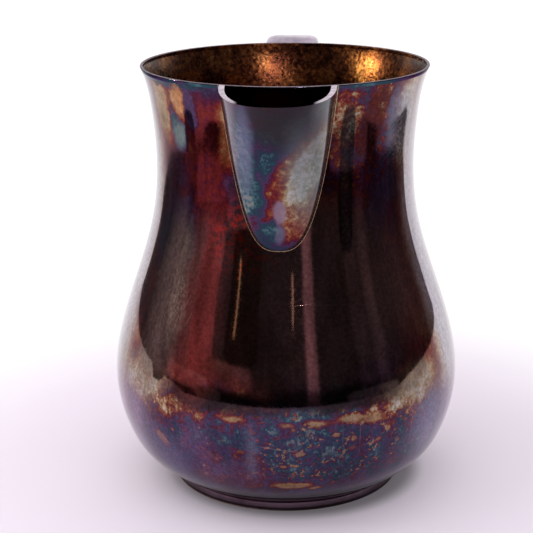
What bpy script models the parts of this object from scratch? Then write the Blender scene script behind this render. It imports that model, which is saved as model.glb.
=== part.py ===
"""Silver water pitcher: a spun pear-shaped body with an applied spout and a hollow strap handle.

Metres, +Z up. The spout points to -Y and the handle to +Y. The pitcher stands on z = 0, and the
origin is the middle of its footprint box.
"""
from math import cos, pi, sin, sqrt

import bmesh
import bpy
from mathutils import Vector

MM = 0.001
GAP = 0.3 * MM                  # clearance between soldered pieces
SOLDER_TOLERANCE = 0.05 * MM    # extra room for the facets of a curved seat

# Body of revolution: (height, outer radius), from the foot up to the mouth
BODY_PROFILE = [(4.3, 50.0), (12.0, 61.3), (25.0, 70.7), (45.0, 75.7), (70.0, 72.9), (95.0, 64.9),
                (120.0, 57.7), (145.0, 55.5), (165.0, 56.9), (178.0, 59.2), (185.0, 61.5)]
RIM_HEIGHT = 185.0 * MM
WALL = 1.2 * MM
LATHE_STEPS = 64
BODY_RINGS = 22
RING_CROWDING = 0.55            # 0 spaces the rings evenly, more crowds them at the foot and the neck

# Rim wire, foot ring and bottom plate
RIM_WIRE_WIDTH = 2.2 * MM
RIM_WIRE_HEIGHT = 1.6 * MM
FOOT_RADIUS = 50.2 * MM
FOOT_HEIGHT = 4.0 * MM
FOOT_WIDTH = 3.6 * MM
FOOT_CHAMFER = 0.4 * MM
LEDGE_RADIUS = 43.0 * MM
PLATE_RADIUS = 47.6 * MM
PLATE_THICKNESS = 1.2 * MM
PLATE_RISE = 5.0 * MM

# Spout: its seam on the body, its lip and its wall
SPOUT_TIP_HEIGHT = 118.5 * MM
SPOUT_HALF_WIDTH = 23.0 * MM
SPOUT_NARROWING = 0.335         # seam half-width grows as this power of the height above the tip
SPOUT_SECTION_POWER = 2.45      # 2 is an ellipse, more is squarer
LIP_REACH = 86.0 * MM
LIP_FRONT_HEIGHT = 181.3 * MM
SPOUT_WALL_LIP = 2.3 * MM
SPOUT_WALL_FOOT = 1.5 * MM
SPOUT_LEVELS = 14
SPOUT_SEGMENTS = 20
# Front line of the spout: (height, distance from the body's axis)
SPOUT_FRONT = [(118.5, 59.4), (123.0, 61.2), (132.0, 63.2), (144.0, 65.6), (155.0, 68.6),
               (164.0, 73.0), (172.0, 78.4), (181.3, 86.0)]

# Window through the body wall behind the spout; the rim stays above it as an ice guard
WINDOW_BOTTOM = 135.0 * MM
WINDOW_TOP = 176.5 * MM
WINDOW_HALF_WIDTH = 16.5 * MM
WINDOW_STEPS = 7

# Handle: (distance from the axis, height) of its middle line, from the upper seat to the lower one
HANDLE_LINE = [(62.0, 170.5), (69.5, 177.0), (84.0, 181.7), (101.0, 174.5), (112.5, 152.0),
               (114.0, 125.0), (106.0, 99.0), (92.0, 81.0), (76.5, 71.0)]
HANDLE_STATIONS = 34
HANDLE_WIDTH_TOP = 26.5 * MM
HANDLE_WIDTH_FOOT = 17.5 * MM
HANDLE_DEPTH_TOP = 7.4 * MM
HANDLE_DEPTH_FOOT = 5.6 * MM
HANDLE_SECTION_POWER = 5.0
HANDLE_ARC_SEGMENTS = 12
STRIP = 1.2 * MM

# Seats under the handle's ends: (height of the middle, half-width, half-height)
UPPER_SEAT = (170.5 * MM, 15.8 * MM, 9.5 * MM)
LOWER_SEAT = (71.0 * MM, 12.0 * MM, 10.0 * MM)
SEAT_THICKNESS = 1.1 * MM
SEAT_SEGMENTS = 24
SEAT_RINGS = 3


def hermite(points, x):
    """Smooth curve through (x, y) points, with Catmull-Rom slopes."""
    last = len(points) - 1
    i = 0
    while i < last - 1 and x > points[i + 1][0]:
        i += 1

    def slope(k):
        low = points[max(k - 1, 0)]
        high = points[min(k + 1, last)]
        return (high[1] - low[1]) / (high[0] - low[0])

    (x0, y0), (x1, y1) = points[i], points[i + 1]
    span = x1 - x0
    t = (x - x0) / span
    start = (2 * t**3 - 3 * t**2 + 1) * y0 + (t**3 - 2 * t**2 + t) * span * slope(i)
    end = (3 * t**2 - 2 * t**3) * y1 + (t**3 - t**2) * span * slope(i + 1)
    return start + end


def body_radius(z):
    """Outer radius of the body at height z."""
    low = BODY_PROFILE[0][0]
    high = BODY_PROFILE[-1][0]
    return hermite(BODY_PROFILE, min(max(z / MM, low), high)) * MM


def material(name, colour, roughness):
    made = bpy.data.materials.new(name)
    made.use_nodes = True
    shader = made.node_tree.nodes["Principled BSDF"]
    shader.inputs["Base Color"].default_value = (*colour, 1.0)
    shader.inputs["Roughness"].default_value = roughness
    shader.inputs["Metallic"].default_value = 1.0
    return made


def finish(name, bm, surface, sharp_angle=0.6):
    """Turn a bmesh into a named object with its material, smooth but for its sharp edges."""
    bmesh.ops.recalc_face_normals(bm, faces=bm.faces)
    mesh = bpy.data.meshes.new(name)
    bm.to_mesh(mesh)
    bm.free()
    mesh.shade_smooth()
    mesh.set_sharp_from_angle(angle=sharp_angle)
    mesh.materials.append(surface)
    piece = bpy.data.objects.new(name, mesh)
    bpy.context.scene.collection.objects.link(piece)
    return piece


def lathe(name, outline, surface):
    """Spin a closed (radius, height) outline round the Z axis."""
    bm = bmesh.new()
    verts = [bm.verts.new((r, 0.0, z)) for r, z in outline]
    edges = [bm.edges.new((verts[i - 1], verts[i])) for i in range(len(verts))]
    bmesh.ops.spin(bm, geom=verts + edges, cent=(0, 0, 0), axis=(0, 0, 1), angle=2 * pi,
                   steps=LATHE_STEPS, use_merge=True, use_duplicate=False)
    bmesh.ops.remove_doubles(bm, verts=bm.verts, dist=0.01 * MM)
    return finish(name, bm, surface)


def body_outline():
    """Outer side up, inner side down, and the ledge that carries the bottom plate."""
    bottom = BODY_PROFILE[0][0] * MM
    top = RIM_HEIGHT - RIM_WIRE_HEIGHT - GAP
    shares = [i / (BODY_RINGS - 1) for i in range(BODY_RINGS)]
    eased = [share - RING_CROWDING * sin(2 * pi * share) / (2 * pi) for share in shares]
    heights = [bottom + (top - bottom) * share for share in eased]
    outer = [(body_radius(z), z) for z in heights]
    inner = []
    for z in heights[2:-1]:
        slope = (body_radius(z + MM) - body_radius(z - MM)) / (2 * MM)
        length = sqrt(1 + slope * slope)
        inner.append((body_radius(z) - WALL / length, z + WALL * slope / length))
    inner.append((body_radius(top) - WALL, top))
    ledge_top = bottom + WALL
    ledge = [(LEDGE_RADIUS, bottom), outer[0]]
    corner = [(PLATE_RADIUS + 1.2 * MM, ledge_top), (LEDGE_RADIUS, ledge_top)]
    return ledge + outer[1:] + inner[::-1] + corner


def window_half_width(z):
    share = (z - WINDOW_BOTTOM) / (WINDOW_TOP - WINDOW_BOTTOM)
    return WINDOW_HALF_WIDTH * share ** SPOUT_NARROWING


def window_cutter():
    """Prism through the front wall, with the outline of the window."""
    side = []
    for i in range(1, WINDOW_STEPS + 1):
        z = WINDOW_BOTTOM + (WINDOW_TOP - WINDOW_BOTTOM) * (i / WINDOW_STEPS) ** 2
        side.append((window_half_width(z), z))
    outline = side + [(-x, z) for x, z in reversed(side)] + [(0.0, WINDOW_BOTTOM)]
    bm = bmesh.new()
    face = bm.faces.new([bm.verts.new((x, -70 * MM, z)) for x, z in outline])
    grown = bmesh.ops.extrude_face_region(bm, geom=[face])
    moved = [item for item in grown["geom"] if isinstance(item, bmesh.types.BMVert)]
    bmesh.ops.translate(bm, verts=moved, vec=(0, 30 * MM, 0))
    cutter = finish("window_cutter", bm, CUTTER)
    cutter.hide_render = True
    cutter.display_type = "WIRE"
    return cutter


def make_body():
    surface = material("tarnished_body", (0.17, 0.09, 0.09), 0.10)
    body = lathe("body_shell", body_outline(), surface)
    cut = body.modifiers.new("window", "BOOLEAN")
    cut.operation = "DIFFERENCE"
    cut.solver = "EXACT"
    cut.object = window_cutter()
    return body


def make_rim_wire():
    """Half-round wire on the edge of the mouth, flush with the outside of the wall."""
    base = RIM_HEIGHT - RIM_WIRE_HEIGHT
    outer = body_radius(RIM_HEIGHT)
    middle = outer - RIM_WIRE_WIDTH / 2
    shoulder = base + RIM_WIRE_HEIGHT * 0.35
    outline = [(outer - RIM_WIRE_WIDTH, base), (outer - 0.3 * MM, base)]
    for i in range(7):
        angle = pi * i / 6
        rise = (RIM_HEIGHT - shoulder) * sin(angle)
        outline.append((middle + RIM_WIRE_WIDTH / 2 * cos(angle), shoulder + rise))
    return lathe("rim_wire", outline, material("rubbed_rim", (0.42, 0.35, 0.38), 0.15))


def make_foot_ring():
    inner = FOOT_RADIUS - FOOT_WIDTH
    top = FOOT_HEIGHT
    outline = [(inner, 0.0), (FOOT_RADIUS - FOOT_CHAMFER, 0.0), (FOOT_RADIUS, FOOT_CHAMFER),
               (FOOT_RADIUS, top - FOOT_CHAMFER), (FOOT_RADIUS - FOOT_CHAMFER, top), (inner, top)]
    return lathe("foot_ring", outline, material("dark_foot", (0.05, 0.03, 0.04), 0.15))


def make_base_disc():
    """Domed bottom plate, soldered on the ledge inside the body."""
    low = BODY_PROFILE[0][0] * MM + WALL + GAP
    count = 7
    top = []
    under = []
    for i in range(count):
        r = PLATE_RADIUS * (1 - i / (count - 1))
        dome = max(0.0, 1 - (r / LEDGE_RADIUS) ** 2)
        lift = PLATE_RISE * dome * dome
        under.append((r, low + lift))
        top.append((r, low + lift + PLATE_THICKNESS))
    bm = bmesh.new()
    path = [bm.verts.new((r, 0.0, z)) for r, z in under[::-1] + top]
    edges = [bm.edges.new((path[i], path[i + 1])) for i in range(len(path) - 1)]
    bmesh.ops.spin(bm, geom=path + edges, cent=(0, 0, 0), axis=(0, 0, 1), angle=2 * pi,
                   steps=LATHE_STEPS, use_merge=True, use_duplicate=False)
    bmesh.ops.remove_doubles(bm, verts=bm.verts, dist=0.01 * MM)
    return finish("base_disc", bm, material("brown_base", (0.12, 0.06, 0.04), 0.30))


def spout_point(level, turn, inset):
    """Point of the spout's outer (inset 0) or inner face; turn runs 0 to pi across the front."""
    share = level ** 2
    wall = SPOUT_WALL_FOOT + (SPOUT_WALL_LIP - SPOUT_WALL_FOOT) * level
    tip = SPOUT_TIP_HEIGHT + inset * 2.2 * SPOUT_WALL_FOOT
    side_height = tip + (RIM_HEIGHT - tip) * share
    front_height = tip + (LIP_FRONT_HEIGHT - tip) * share
    half = (SPOUT_HALF_WIDTH - inset * SPOUT_WALL_LIP) * share ** SPOUT_NARROWING
    seat = body_radius(side_height) + GAP + SOLDER_TOLERANCE
    chord = sqrt(seat * seat - half * half)
    reach = hermite(SPOUT_FRONT, front_height / MM) * MM - inset * wall
    reach = max(reach, body_radius(front_height) + GAP + SOLDER_TOLERANCE)
    across = abs(cos(turn)) ** (2 / SPOUT_SECTION_POWER)
    forward = abs(sin(turn)) ** (2 / SPOUT_SECTION_POWER)
    x = half * (across if cos(turn) >= 0 else -across)
    y = -(chord + (reach - chord) * forward)
    z = side_height + (front_height - side_height) * forward
    return Vector((x, y, z))


def make_spout():
    """Channel soldered to the front of the body, open at the top and towards the body."""
    bm = bmesh.new()
    skins = []
    for inset in (0, 1):
        tip = bm.verts.new(spout_point(0.0, 0.0, inset))
        rows = [[tip] * (SPOUT_SEGMENTS + 1)]
        for k in range(1, SPOUT_LEVELS + 1):
            level = k / SPOUT_LEVELS
            turns = [pi * i / SPOUT_SEGMENTS for i in range(SPOUT_SEGMENTS + 1)]
            rows.append([bm.verts.new(spout_point(level, turn, inset)) for turn in turns])
        skins.append(rows)
        for k in range(SPOUT_LEVELS):
            for i in range(SPOUT_SEGMENTS):
                corners = (rows[k][i], rows[k][i + 1], rows[k + 1][i + 1], rows[k + 1][i])
                bm.faces.new(list(dict.fromkeys(corners)))
    outer, inner = skins
    for i in range(SPOUT_SEGMENTS):
        bm.faces.new((outer[-1][i], outer[-1][i + 1], inner[-1][i + 1], inner[-1][i]))
    for side in (0, -1):
        for k in range(SPOUT_LEVELS):
            bm.faces.new((outer[k][side], outer[k + 1][side], inner[k + 1][side], inner[k][side]))
    return finish("spout", bm, material("tarnished_spout", (0.14, 0.14, 0.16), 0.10))


def handle_point(share):
    """Middle line of the handle, share 0 at the upper seat and 1 at the lower one."""
    lengths = [0.0]
    for a, b in zip(HANDLE_LINE, HANDLE_LINE[1:]):
        lengths.append(lengths[-1] + sqrt((b[0] - a[0]) ** 2 + (b[1] - a[1]) ** 2))
    along = share * lengths[-1]
    y = hermite([(s, point[0]) for s, point in zip(lengths, HANDLE_LINE)], along)
    z = hermite([(s, point[1]) for s, point in zip(lengths, HANDLE_LINE)], along)
    return Vector((0.0, y * MM, z * MM))


def handle_frame(share):
    """Middle point, and the direction away from the hand's side, at this share of the length."""
    step = 0.002
    before = handle_point(max(share - step, 0.0))
    after = handle_point(min(share + step, 1.0))
    tangent = (after - before).normalized()
    outward = Vector((0.0, -tangent.z, tangent.y))
    return handle_point(share), outward


def on_seat(point):
    """Slide an end point along Y on to the face of the seat."""
    radius = body_radius(point.z) + 2 * GAP + SEAT_THICKNESS + SOLDER_TOLERANCE
    return Vector((point.x, sqrt(radius * radius - point.x * point.x), point.z))


def sweep_handle(name, section, surface):
    """Sweep a section along the handle; section(width, depth) lists (across, outward) points."""
    bm = bmesh.new()
    rings = []
    for k in range(HANDLE_STATIONS + 1):
        share = k / HANDLE_STATIONS
        middle, outward = handle_frame(share)
        width = HANDLE_WIDTH_TOP + (HANDLE_WIDTH_FOOT - HANDLE_WIDTH_TOP) * share
        depth = HANDLE_DEPTH_TOP + (HANDLE_DEPTH_FOOT - HANDLE_DEPTH_TOP) * share
        ring = []
        for across, out in section(width, depth):
            point = middle + Vector((across, 0, 0)) + outward * (out - depth / 2)
            if k in (0, HANDLE_STATIONS):
                point = on_seat(point)
            ring.append(bm.verts.new(point))
        rings.append(ring)
    count = len(rings[0])
    for low, high in zip(rings, rings[1:]):
        for i in range(count):
            bm.faces.new((low[i - 1], low[i], high[i], high[i - 1]))
    for ring in (rings[0], rings[-1]):
        for i in range(count // 2 - 1):
            bm.faces.new((ring[i], ring[i + 1], ring[count - 2 - i], ring[count - 1 - i]))
    return finish(name, bm, surface)


def channel_section(width, depth):
    """Domed outer strip with its two sides, open towards the body."""
    outer = []
    inner = []
    for i in range(HANDLE_ARC_SEGMENTS + 1):
        angle = pi * i / HANDLE_ARC_SEGMENTS
        across = abs(cos(angle)) ** (2 / HANDLE_SECTION_POWER)
        across = across if cos(angle) >= 0 else -across
        rise = sin(angle) ** (2 / HANDLE_SECTION_POWER) if 0 < i < HANDLE_ARC_SEGMENTS else 0.0
        outer.append((width / 2 * across, depth * rise))
        inner.append(((width / 2 - STRIP) * across, (depth - STRIP) * rise))
    return outer + inner[::-1]


def back_section(width, depth):
    """Flat inner strip that closes the channel."""
    half = width / 2 - STRIP - GAP
    return [(half, 0.0), (0.0, 0.0), (-half, 0.0), (-half, STRIP), (0.0, STRIP), (half, STRIP)]


def make_seat(name, size, surface):
    """Oval plate that follows the body's wall under one end of the handle."""
    height, half_width, half_height = size
    bm = bmesh.new()
    skins = []
    for face_offset in (GAP, GAP + SEAT_THICKNESS):
        rows = []
        for ring in range(SEAT_RINGS + 1):
            row = []
            for i in range(SEAT_SEGMENTS if ring else 1):
                angle = 2 * pi * i / SEAT_SEGMENTS
                x = half_width * ring / SEAT_RINGS * cos(angle)
                z = height + half_height * ring / SEAT_RINGS * sin(angle)
                radius = body_radius(z) + face_offset + SOLDER_TOLERANCE / 2
                row.append(bm.verts.new((x, sqrt(radius * radius - x * x), z)))
            rows.append(row if ring else row * SEAT_SEGMENTS)
        skins.append(rows)
        for low, high in zip(rows, rows[1:]):
            for i in range(SEAT_SEGMENTS):
                corners = (low[i - 1], low[i], high[i], high[i - 1])
                bm.faces.new(list(dict.fromkeys(corners)))
    for i in range(SEAT_SEGMENTS):
        inner, outer = skins[0][-1], skins[1][-1]
        bm.faces.new((inner[i - 1], inner[i], outer[i], outer[i - 1]))
    return finish(name, bm, surface)


def centre_on_footprint(pieces):
    """Hang the pieces on one empty that puts the middle of their footprint on the origin."""
    ys = [vert.co.y for piece in pieces for vert in piece.data.vertices]
    pitcher = bpy.data.objects.new("pitcher", None)
    bpy.context.scene.collection.objects.link(pitcher)
    pitcher.location.y = -(min(ys) + max(ys)) / 2
    for thing in bpy.context.scene.objects:
        if thing is not pitcher:
            thing.parent = pitcher


for old in list(bpy.data.objects):
    bpy.data.objects.remove(old)
CUTTER = material("cutter", (1.0, 0.2, 0.2), 0.5)
centre_on_footprint([
    make_body(),
    make_base_disc(),
    make_foot_ring(),
    make_rim_wire(),
    make_spout(),
    sweep_handle("handle_outer_strip", channel_section,
                 material("handle_silver", (0.62, 0.52, 0.63), 0.15)),
    sweep_handle("handle_back_strip", back_section,
                 material("handle_back_silver", (0.58, 0.48, 0.58), 0.18)),
    make_seat("upper_handle_seat", UPPER_SEAT, material("upper_seat_silver", (0.6, 0.5, 0.6), 0.16)),
    make_seat("lower_handle_seat", LOWER_SEAT, material("lower_seat_silver", (0.6, 0.5, 0.6), 0.16)),
])
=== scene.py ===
from math import copysign, cos, pi, radians, sin, sqrt

import bmesh
import bpy
import numpy as np
from mathutils import Matrix, Vector, noise


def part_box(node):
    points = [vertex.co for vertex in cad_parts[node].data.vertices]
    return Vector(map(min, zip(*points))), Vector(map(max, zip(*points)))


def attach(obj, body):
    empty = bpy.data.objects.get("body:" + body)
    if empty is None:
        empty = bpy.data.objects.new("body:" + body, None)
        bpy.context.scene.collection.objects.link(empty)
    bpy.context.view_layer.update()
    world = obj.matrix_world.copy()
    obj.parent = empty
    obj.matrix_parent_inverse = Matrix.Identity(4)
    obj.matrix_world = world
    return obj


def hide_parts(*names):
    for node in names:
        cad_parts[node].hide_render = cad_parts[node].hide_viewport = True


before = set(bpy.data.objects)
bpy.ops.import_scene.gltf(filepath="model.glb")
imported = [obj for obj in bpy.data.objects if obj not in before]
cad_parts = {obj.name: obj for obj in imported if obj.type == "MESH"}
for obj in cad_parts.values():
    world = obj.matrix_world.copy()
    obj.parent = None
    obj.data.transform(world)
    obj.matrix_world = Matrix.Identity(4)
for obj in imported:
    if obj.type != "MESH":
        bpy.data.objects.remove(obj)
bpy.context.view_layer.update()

MM = 0.001
SHARP_ANGLE = 0.7               # radians, past which an edge is shaded sharp

# The body of revolution stands on the foot ring, whose box gives its axis
FOOT_LOW, FOOT_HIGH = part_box("foot_ring")
AXIS_Y = (FOOT_LOW[1] + FOOT_HIGH[1]) / 2

# Body: (height, outer radius) in mm, the same outline as the CAD model's
BODY_PROFILE = [(4.3, 50.0), (12.0, 61.3), (25.0, 70.7), (45.0, 75.7), (70.0, 72.9), (95.0, 64.9),
                (120.0, 57.7), (145.0, 55.5), (165.0, 56.9), (178.0, 59.2), (185.0, 61.5)]
RIM_HEIGHT = 185.0 * MM
WALL = 1.1 * MM
INNER_FOOT = 2.2 * MM           # how far above the body's lower edge the inner wall starts
INSIDE_FROM = 5.2 * MM          # height where the inside's material starts
ROUND_STEPS = 224
OUTER_RINGS = 130
INNER_RINGS = 80
DENT_DEPTH = 0.07 * MM
DENT_SIZE = 34.0 * MM

# Rim wire, foot ring and base plate
RIM_WIRE_WIDTH = 1.3 * MM
RIM_WIRE_HEIGHT = 1.7 * MM
RIM_ROUND_OFF = 0.4 * MM
FOOT_RADIUS = 50.2 * MM
FOOT_HEIGHT = 4.25 * MM
FOOT_WIDTH = 3.6 * MM
FOOT_ROUND_OFF = 0.7 * MM
LEDGE_RADIUS = 43.0 * MM
PLATE_RADIUS = 48.4 * MM
PLATE_THICKNESS = 1.2 * MM
PLATE_RISE = 5.0 * MM
PLATE_RINGS = 28

# Spout
SPOUT_TIP_HEIGHT = 118.5 * MM
SPOUT_HALF_WIDTH = 23.0 * MM
SPOUT_NARROWING = 0.335
SPOUT_SECTION_POWER = 2.45
LIP_FRONT_HEIGHT = 181.3 * MM
SPOUT_WALL_LIP = 2.3 * MM
SPOUT_WALL_FOOT = 1.5 * MM
SPOUT_TIP_WALL = 3.3 * MM
SPOUT_LEVELS = 64
SPOUT_SEGMENTS = 72
SPOUT_SEAT = 0.12 * MM          # how far the soldered edge stands off the wall
SPOUT_TIP_LEVEL = 0.004         # the narrow tip stops just short of a point
SPOUT_RISE = [max(k / SPOUT_LEVELS, SPOUT_TIP_LEVEL) for k in range(SPOUT_LEVELS + 1)]
SPOUT_FRONT = [(118.5, 59.4), (123.0, 61.2), (132.0, 63.2), (144.0, 65.6), (155.0, 68.6),
               (164.0, 73.0), (172.0, 78.4), (181.3, 86.0)]
SEAM_TOP = RIM_HEIGHT - 0.2 * MM
BEAD_RADIUS = 0.36 * MM
# Thin dark line of painted shade in the groove between the spout and the solder bead
SHADE_LINE_RADIUS = 0.16 * MM
SHADE_LINE_STAND_OFF = 0.05 * MM

# Window through the wall behind the spout
WINDOW_BOTTOM = 135.0 * MM
WINDOW_TOP = 176.5 * MM
WINDOW_HALF_WIDTH = 16.5 * MM
WINDOW_STEPS = 28
WINDOW_CUT = (-70.0 * MM, -40.0 * MM)       # front and back of the cutting prism

# Handle
HANDLE_LINE = [(62.0, 170.5), (69.5, 177.0), (84.0, 181.7), (101.0, 174.5), (112.5, 152.0),
               (114.0, 125.0), (106.0, 99.0), (92.0, 81.0), (76.5, 71.0)]
HANDLE_STATIONS = 150
HANDLE_WIDTH_TOP = 26.5 * MM
HANDLE_WIDTH_FOOT = 17.5 * MM
HANDLE_DEPTH_TOP = 7.4 * MM
HANDLE_DEPTH_FOOT = 5.6 * MM
HANDLE_SECTION_POWER = 5.0
HANDLE_ARC_SEGMENTS = 48
STRIP = 1.2 * MM
BACK_CROWN = 0.35 * MM
BACK_POINTS = 13
HANDLE_SEAM = 0.08 * MM
UPPER_SEAT = (170.5 * MM, 15.8 * MM, 9.5 * MM)
LOWER_SEAT = (71.0 * MM, 12.0 * MM, 10.0 * MM)
SEAT_THICKNESS = 1.3 * MM
SEAT_SEGMENTS = 96

# Camera, fitted to the rim and foot ellipses
CAMERA_AZIMUTH = 2.6            # degrees to the right of the spout
CAMERA_DISTANCE = 0.634
CAMERA_HEIGHT = 0.282
CAMERA_PITCH = 16.47
CAMERA_YAW = 0.757
CAMERA_ROLL = -0.43
CAMERA_LENS = 100.9
CAMERA_SENSOR = 36.0


# ---------------------------------------------------------------- curves and meshes

class Spline:
    """Natural cubic spline through (x, y) points."""

    def __init__(self, points):
        self.x = np.array([p[0] for p in points], float)
        self.y = np.array([p[1] for p in points], float)
        n = len(points)
        h = np.diff(self.x)
        system = np.eye(n)
        right = np.zeros(n)
        for i in range(1, n - 1):
            system[i, i - 1:i + 2] = (h[i - 1], 2 * (h[i - 1] + h[i]), h[i])
            rise = (self.y[i + 1] - self.y[i]) / h[i]
            fall = (self.y[i] - self.y[i - 1]) / h[i - 1]
            right[i] = 6 * (rise - fall)
        self.bend = np.linalg.solve(system, right)

    def __call__(self, x):
        i = int(np.clip(np.searchsorted(self.x, x) - 1, 0, len(self.x) - 2))
        h = self.x[i + 1] - self.x[i]
        a = (self.x[i + 1] - x) / h
        b = (x - self.x[i]) / h
        curve = ((a**3 - a) * self.bend[i] + (b**3 - b) * self.bend[i + 1]) * h * h / 6
        return float(a * self.y[i] + b * self.y[i + 1] + curve)


PROFILE = Spline(BODY_PROFILE)
FRONT = Spline(SPOUT_FRONT)


def body_radius(z):
    low = BODY_PROFILE[0][0]
    high = BODY_PROFILE[-1][0]
    return PROFILE(min(max(z / MM, low), high)) * MM


def body_slope(z):
    return (body_radius(z + 0.3 * MM) - body_radius(z - 0.3 * MM)) / (0.6 * MM)


def signed_power(value, power):
    return copysign(abs(value) ** power, value)


def placed(name, data):
    """A new object in the scene."""
    made = bpy.data.objects.new(name, data)
    bpy.context.scene.collection.objects.link(made)
    return made


def closed_mesh(name, points, faces):
    """A mesh round the pitcher's axis, with its faces turned outward."""
    mesh = bpy.data.meshes.new(name)
    mesh.from_pydata([(x, y + AXIS_Y, z) for x, y, z in points], [], faces)
    bm = bmesh.new()
    bm.from_mesh(mesh)
    bmesh.ops.remove_doubles(bm, verts=bm.verts, dist=0.002 * MM)
    bmesh.ops.recalc_face_normals(bm, faces=bm.faces)
    bm.to_mesh(mesh)
    bm.free()
    return mesh


def make_piece(name, points, faces, surface, nodes, bevel=0.0):
    """A piece that rides on the root body and replaces the named CAD nodes."""
    mesh = closed_mesh(name, points, faces)
    mesh.shade_smooth()
    mesh.set_sharp_from_angle(angle=SHARP_ANGLE)
    mesh.materials.append(surface)
    piece = placed(name, mesh)
    if bevel:
        edge = piece.modifiers.new("rounded_edges", "BEVEL")
        edge.width = bevel
        edge.segments = 3
        edge.limit_method = "ANGLE"
        edge.angle_limit = SHARP_ANGLE
    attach(piece, "root")
    if nodes:
        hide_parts(*nodes)
    return piece


def grid_faces(rows, columns, start=0, wrap=True, flip=False):
    """Quads over a rows x columns grid of points."""
    faces = []
    for k in range(rows - 1):
        for i in range(columns if wrap else columns - 1):
            j = (i + 1) % columns
            a = start + k * columns
            b = a + columns
            quad = (a + i, a + j, b + j, b + i)
            faces.append(quad[::-1] if flip else quad)
    return faces


def dented(x, y, z, depth):
    """Moves a wall point in or out by the slight unevenness of worked sheet."""
    slow = noise.noise(Vector((x, y, z)) / DENT_SIZE)
    fine = noise.noise(Vector((x + 0.3, y, z)) / (DENT_SIZE / 3))
    push = depth * (slow + 0.25 * fine)
    r = sqrt(x * x + y * y)
    return (x + x / r * push, y + y / r * push, z)


def quarter_round(r, z, radius, start):
    """Nine points of a quarter circle round (r, z), from the angle start."""
    turns = [start + pi / 2 * i / 8 for i in range(9)]
    return [(r + radius * cos(turn), z + radius * sin(turn)) for turn in turns]


def lathe(outline, dent=0.0):
    """Points and faces of a closed (radius, height) outline turned round the axis."""
    points = []
    for r, z in outline:
        for i in range(ROUND_STEPS):
            angle = 2 * pi * i / ROUND_STEPS
            x = r * cos(angle)
            y = r * sin(angle)
            points.append(dented(x, y, z, dent) if dent else (x, y, z))
    rows = len(outline)
    faces = grid_faces(rows, ROUND_STEPS)
    last = (rows - 1) * ROUND_STEPS
    for i in range(ROUND_STEPS):
        j = (i + 1) % ROUND_STEPS
        faces.append((last + i, last + j, j, i))
    return points, faces


# ---------------------------------------------------------------- material tools

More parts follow.
